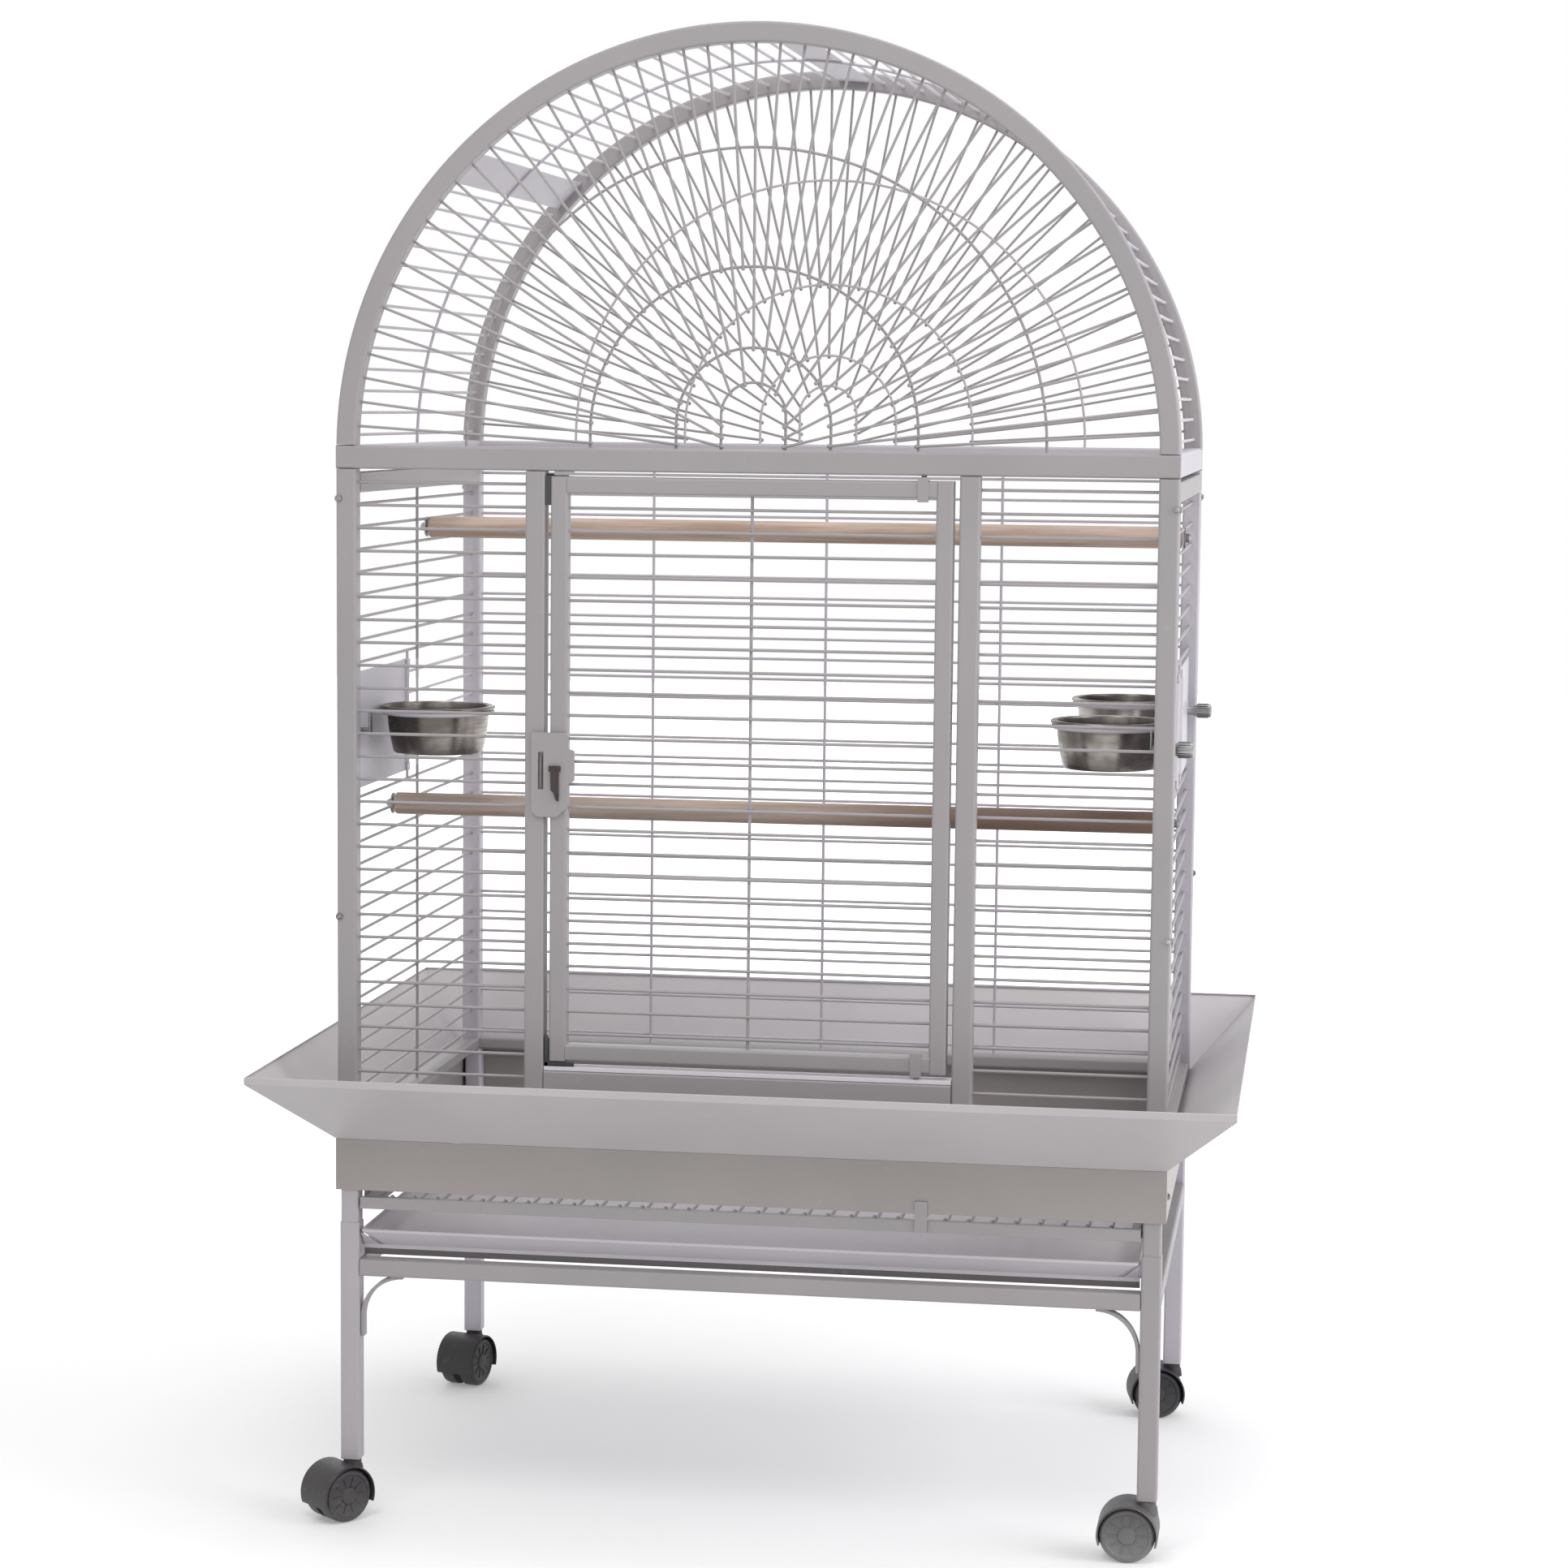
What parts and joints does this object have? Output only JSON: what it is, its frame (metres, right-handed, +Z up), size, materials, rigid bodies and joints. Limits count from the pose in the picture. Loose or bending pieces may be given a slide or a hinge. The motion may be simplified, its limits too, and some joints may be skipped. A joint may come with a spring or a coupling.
{
  "type": "parrot cage",
  "caption": "Arched-roof parrot cage in grey powder coat with a front door, side feeders, perches, seed guards, sliding grate and tray, on a stand with casters",
  "frame": {"origin": "on the floor, under the middle of the seed guards", "axes": "+Z up, front (door) faces -Y, +X to the viewer's right"},
  "size_m": [1.0686, 0.8066, 1.6465],
  "materials": {
    "frame_paint": "satin powder coat, light warm grey",
    "sheet_paint": "satin powder coat on sheet, warm grey",
    "perch_wood": "bare turned hardwood",
    "cup_steel": "polished stainless",
    "dark_steel": "dark satin",
    "caster_plastic": "charcoal nylon"
  },
  "bodies": {
    "cage": {"stand_leg_front_left": "frame_paint", "stand_leg_front_right": "frame_paint", "stand_leg_back_left": "frame_paint", "stand_leg_back_right": "frame_paint", "stand_rail_front": "frame_paint", "stand_rail_back": "frame_paint", "stand_rail_left": "frame_paint", "stand_rail_right": "frame_paint", "apron_front": "sheet_paint", "apron_back": "sheet_paint", "apron_left": "sheet_paint", "apron_right": "sheet_paint", "seed_guard_front": "sheet_paint", "seed_guard_back": "sheet_paint", "seed_guard_left": "sheet_paint", "seed_guard_right": "sheet_paint", "front_panel_left": "frame_paint", "front_panel_right": "frame_paint", "door_sill": "frame_paint", "back_panel": "frame_paint", "back_post_right": "frame_paint", "side_wall_left_lower": "frame_paint", "side_wall_left_middle": "frame_paint", "side_wall_left_upper": "frame_paint", "side_wall_right_lower": "frame_paint", "side_wall_right_middle": "frame_paint", "side_wall_right_upper": "frame_paint", "beam_front": "frame_paint", "beam_back": "frame_paint", "dome_arch_front": "frame_paint", "dome_arch_back": "frame_paint", "roof_left_lower": "frame_paint", "roof_left_upper": "frame_paint", "roof_right_upper": "frame_paint", "roof_right_lower": "frame_paint", "perch_upper": "perch_wood", "perch_lower": "perch_wood"},
    "door": {"door_frame": "frame_paint", "door_latch_plate": "frame_paint"},
    "door_lever": {"door_latch_lever": "dark_steel"},
    "feeder_left_front": {"feeder_door_left_front": "frame_paint"},
    "feeder_right_front": {"feeder_door_right_front": "frame_paint"},
    "feeder_right_back": {"feeder_door_right_back": "frame_paint"},
    "latch_left_front": {"feeder_latch_left_front": "dark_steel"},
    "latch_right_front": {"feeder_latch_right_front": "dark_steel"},
    "latch_right_back": {"feeder_latch_right_back": "dark_steel"},
    "cup_left_front": {"feeder_cup_left_front": "cup_steel"},
    "cup_right_front": {"feeder_cup_right_front": "cup_steel"},
    "cup_right_back": {"feeder_cup_right_back": "cup_steel"},
    "grate": {"floor_grate": "frame_paint", "grate_pull_tab": "sheet_paint"},
    "tray": {"litter_tray": "sheet_paint"},
    "caster_front_left": {"caster_hood_front_left": "caster_plastic"},
    "caster_front_right": {"caster_hood_front_right": "caster_plastic"},
    "caster_back_left": {"caster_hood_back_left": "caster_plastic"},
    "caster_back_right": {"caster_hood_back_right": "caster_plastic"},
    "wheels_front_left": {"caster_wheels_front_left": "caster_plastic"},
    "wheels_front_right": {"caster_wheels_front_right": "caster_plastic"},
    "wheels_back_left": {"caster_wheels_back_left": "caster_plastic"},
    "wheels_back_right": {"caster_wheels_back_right": "caster_plastic"}
  },
  "joints": [
    {"name": "door_swing", "type": "hinge", "parent": "cage", "child": "door", "pos_m": [0.1855, -0.2955, 0.845], "axis": [0, 0, 1], "range_deg": [0, 120]},
    {"name": "door_lever_turn", "type": "hinge", "parent": "door", "child": "door_lever", "pos_m": [-0.21185, -0.3096, 0.848], "axis": [0, 1, 0], "range_deg": [0, 90]},
    {"name": "feeder_left_front_swing", "type": "hinge", "parent": "cage", "child": "feeder_left_front", "pos_m": [-0.446, -0.045, 0.88], "axis": [0, 0, -1], "range_deg": [0, 90]},
    {"name": "feeder_right_front_swing", "type": "hinge", "parent": "cage", "child": "feeder_right_front", "pos_m": [0.446, -0.045, 0.88], "axis": [0, 0, 1], "range_deg": [0, 90]},
    {"name": "feeder_right_back_swing", "type": "hinge", "parent": "cage", "child": "feeder_right_back", "pos_m": [0.446, 0.045, 0.88], "axis": [0, 0, -1], "range_deg": [0, 90]},
    {"name": "latch_left_front_turn", "type": "hinge", "parent": "feeder_left_front", "child": "latch_left_front", "pos_m": [-0.44675, -0.262, 0.88], "axis": [1, 0, 0], "range_deg": [0, 90]},
    {"name": "latch_right_front_turn", "type": "hinge", "parent": "feeder_right_front", "child": "latch_right_front", "pos_m": [0.44675, -0.262, 0.88], "axis": [1, 0, 0], "range_deg": [0, 90]},
    {"name": "latch_right_back_turn", "type": "hinge", "parent": "feeder_right_back", "child": "latch_right_back", "pos_m": [0.44675, 0.262, 0.88], "axis": [-1, 0, 0], "range_deg": [0, 90]},
    {"name": "cup_left_front_lift", "type": "slide", "parent": "feeder_left_front", "child": "cup_left_front", "axis": [0, 0, 1], "range_m": [0, 0.05]},
    {"name": "cup_right_front_lift", "type": "slide", "parent": "feeder_right_front", "child": "cup_right_front", "axis": [0, 0, 1], "range_m": [0, 0.05]},
    {"name": "cup_right_back_lift", "type": "slide", "parent": "feeder_right_back", "child": "cup_right_back", "axis": [0, 0, 1], "range_m": [0, 0.05]},
    {"name": "grate_slide", "type": "slide", "parent": "cage", "child": "grate", "axis": [0, -1, 0], "range_m": [0, 0.45]},
    {"name": "tray_slide", "type": "slide", "parent": "cage", "child": "tray", "axis": [0, -1, 0], "range_m": [0, 0.45]},
    {"name": "caster_front_left_swivel", "type": "hinge", "parent": "cage", "child": "caster_front_left", "pos_m": [-0.4435, -0.294, 0.066], "axis": [0, 0, 1], "continuous": true},
    {"name": "caster_front_right_swivel", "type": "hinge", "parent": "cage", "child": "caster_front_right", "pos_m": [0.4435, -0.294, 0.066], "axis": [0, 0, 1], "continuous": true},
    {"name": "caster_back_left_swivel", "type": "hinge", "parent": "cage", "child": "caster_back_left", "pos_m": [-0.4435, 0.294, 0.066], "axis": [0, 0, 1], "continuous": true},
    {"name": "caster_back_right_swivel", "type": "hinge", "parent": "cage", "child": "caster_back_right", "pos_m": [0.4435, 0.294, 0.066], "axis": [0, 0, 1], "continuous": true},
    {"name": "wheels_front_left_roll", "type": "hinge", "parent": "caster_front_left", "child": "wheels_front_left", "pos_m": [-0.45636, -0.30932, 0.0305], "axis": [-0.766, 0.6428, 0], "continuous": true},
    {"name": "wheels_front_right_roll", "type": "hinge", "parent": "caster_front_right", "child": "wheels_front_right", "pos_m": [0.4235, -0.294, 0.0305], "axis": [0, 1, 0], "continuous": true},
    {"name": "wheels_back_left_roll", "type": "hinge", "parent": "caster_back_left", "child": "wheels_back_left", "pos_m": [-0.44868, 0.27468, 0.0305], "axis": [-0.9659, 0.2588, 0], "continuous": true},
    {"name": "wheels_back_right_roll", "type": "hinge", "parent": "caster_back_right", "child": "wheels_back_right", "pos_m": [0.4238, 0.29053, 0.0305], "axis": [-0.1736, 0.9848, 0], "continuous": true}
  ]
}
